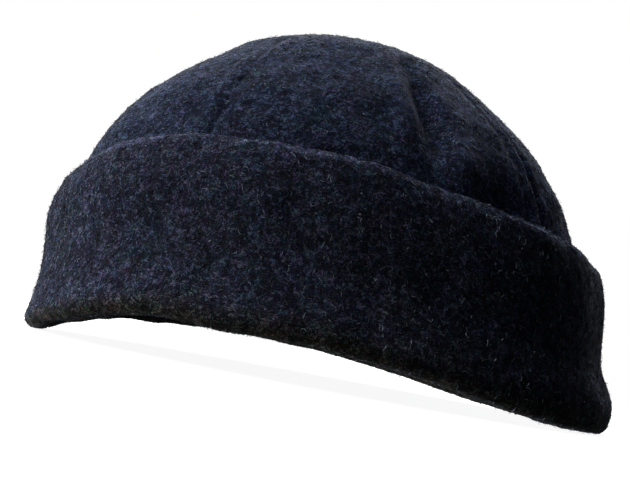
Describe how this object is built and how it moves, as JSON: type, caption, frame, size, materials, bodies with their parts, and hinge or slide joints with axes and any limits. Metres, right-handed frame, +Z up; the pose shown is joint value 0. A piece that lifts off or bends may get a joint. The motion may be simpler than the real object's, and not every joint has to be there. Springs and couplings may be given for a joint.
{
  "type": "beanie",
  "caption": "Brimless felt cap: a dome of sewn gores with a deep cuff turned up all round over a soft roll, open below for the head.",
  "frame": {"origin": "middle of the bounding box's underside, on the surface that the hat rests on", "axes": "+Z up, +X towards the back of the head, -X towards the forehead, +Y towards the wearer's right"},
  "size_m": [0.2326, 0.2014, 0.1409],
  "materials": {
    "crown_felt": "matt brushed wool felt, dark blue-grey melange",
    "cuff_felt": "matt brushed wool felt, near-black blue melange"
  },
  "bodies": {
    "root": {"crown_panel_1": "crown_felt", "crown_panel_2": "crown_felt", "crown_panel_3": "crown_felt", "crown_panel_4": "crown_felt", "cuff": "cuff_felt"}
  },
  "joints": []
}
